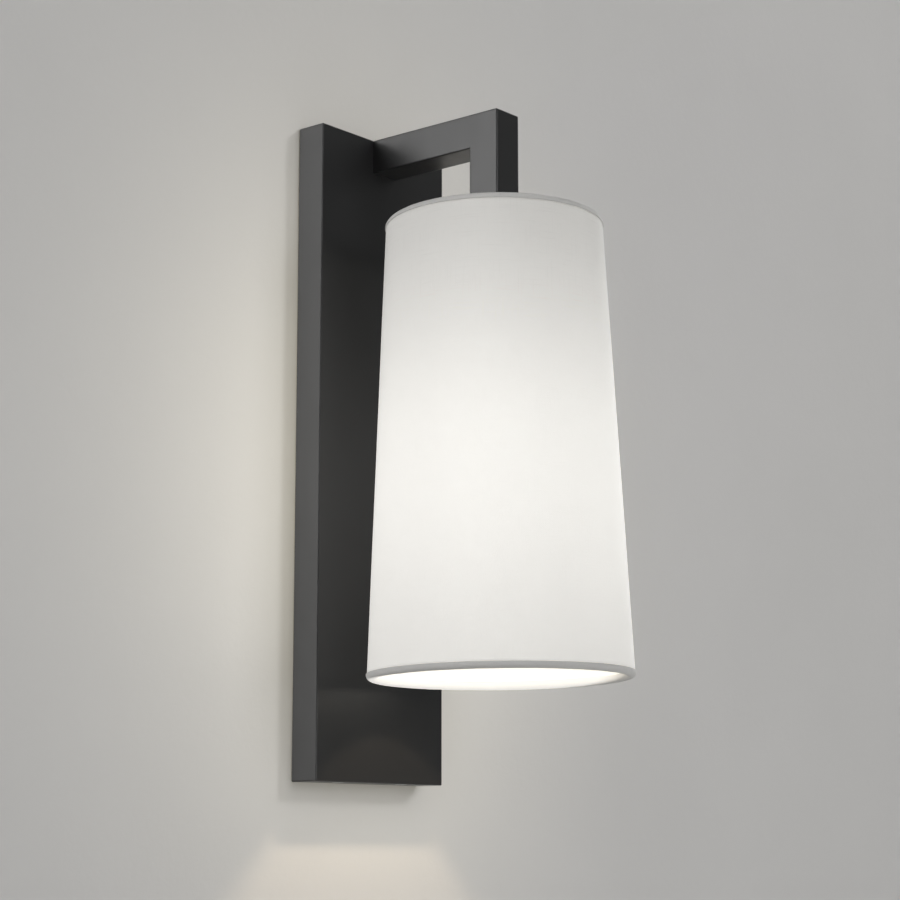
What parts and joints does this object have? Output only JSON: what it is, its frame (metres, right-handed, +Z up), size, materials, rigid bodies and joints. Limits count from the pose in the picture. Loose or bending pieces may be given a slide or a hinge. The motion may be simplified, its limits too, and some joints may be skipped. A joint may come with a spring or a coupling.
{
  "type": "wall lamp",
  "caption": "Wall lamp with a box-shaped back cover, a square-tube arm with a mitred corner and a tapered fabric shade around a screw-base bulb.",
  "frame": {"origin": "on the wall's plane, midway between the two wall screws", "axes": "+X to the right, +Y into the wall, +Z up; the lamp stands out towards -Y"},
  "size_m": [0.1096, 0.1337, 0.28],
  "materials": {
    "zinc_steel": "zinc-plated, satin",
    "black_oxide_steel": "blackened",
    "black_paint": "satin black powder coat",
    "brass": "bright turned",
    "tinned_brass": "tinned",
    "black_moulding": "moulded, matt",
    "white_moulding": "moulded, matt",
    "ivory_moulding": "moulded, satin",
    "brown_insulation": "smooth",
    "blue_insulation": "smooth",
    "green_yellow_insulation": "smooth, striped",
    "shade_cloth": "plain weave, white",
    "shade_lining": "matt white film",
    "bulb_shell_metal": "drawn, bright",
    "bulb_contact_metal": "tinned",
    "black_insulator": "gloss",
    "white_housing": "moulded, satin",
    "opal_plastic": "opal, satin",
    "white_board": "coated board",
    "green_board": "coated board"
  },
  "bodies": {
    "bracket_body": {"wall_bracket": "zinc_steel", "bracket_earth_stud": "brass", "bracket_earth_nut": "brass"},
    "lamp_body": {"cover": "black_paint", "clinch_nuts": "zinc_steel", "set_screws": "black_oxide_steel", "arm_tube": "black_paint", "leg_tube": "black_paint", "arm_plug": "zinc_steel", "leg_plug": "zinc_steel", "arm_nipple": "brass", "arm_lock_washer": "zinc_steel", "arm_nut": "brass", "arm_pin": "zinc_steel", "terminal_block": "ivory_moulding", "terminal_clamps": "brass", "terminal_screws": "zinc_steel", "terminal_block_studs": "zinc_steel", "terminal_block_nuts": "zinc_steel", "cover_earth_stud": "zinc_steel", "cover_earth_nut": "brass", "earth_ring_terminal": "tinned_brass", "live_wire": "brown_insulation", "neutral_wire": "blue_insulation", "earth_wire": "green_yellow_insulation", "holder_locknut": "brass", "holder_nipple": "brass", "holder_cap": "black_moulding", "holder_body": "black_moulding", "holder_core": "white_moulding", "centre_contact": "tinned_brass", "side_contact": "tinned_brass", "holder_terminal_screws": "zinc_steel"},
    "shade_body": {"fitter_ring": "zinc_steel", "carrier_spokes": "zinc_steel", "top_ring": "zinc_steel", "bottom_ring": "zinc_steel", "shade_liner": "shade_lining", "shade_fabric": "shade_cloth", "top_hem": "shade_cloth", "bottom_hem": "shade_cloth"},
    "ring_body": {"shade_ring": "black_moulding"},
    "bulb_body": {"bulb_screw_shell": "bulb_shell_metal", "bulb_insulator": "black_insulator", "bulb_contact": "bulb_contact_metal", "bulb_collar": "white_housing", "bulb_globe": "opal_plastic", "bulb_led_board": "white_board", "bulb_driver": "green_board"}
  },
  "joints": [
    {"name": "cover_off", "type": "slide", "parent": "bracket_body", "child": "lamp_body", "axis": [0, -1, 0], "range_m": [0, 0.03]},
    {"name": "shade_drop", "type": "slide", "parent": "lamp_body", "child": "shade_body", "axis": [0, 0, -1], "range_m": [0, 0.01]},
    {"name": "ring_turn", "type": "hinge", "parent": "shade_body", "child": "ring_body", "pos_m": [0, -0.0763, 0.056], "axis": [0, 0, -1], "range_deg": [0, 1440]},
    {"name": "bulb_withdraw", "type": "slide", "parent": "lamp_body", "child": "bulb_body", "axis": [0, 0, -1], "range_m": [0, 0.018]}
  ],
  "couplings": [
    {"joint": "ring_turn", "follows": "shade_drop", "rad_per_m": 2513.3}
  ]
}
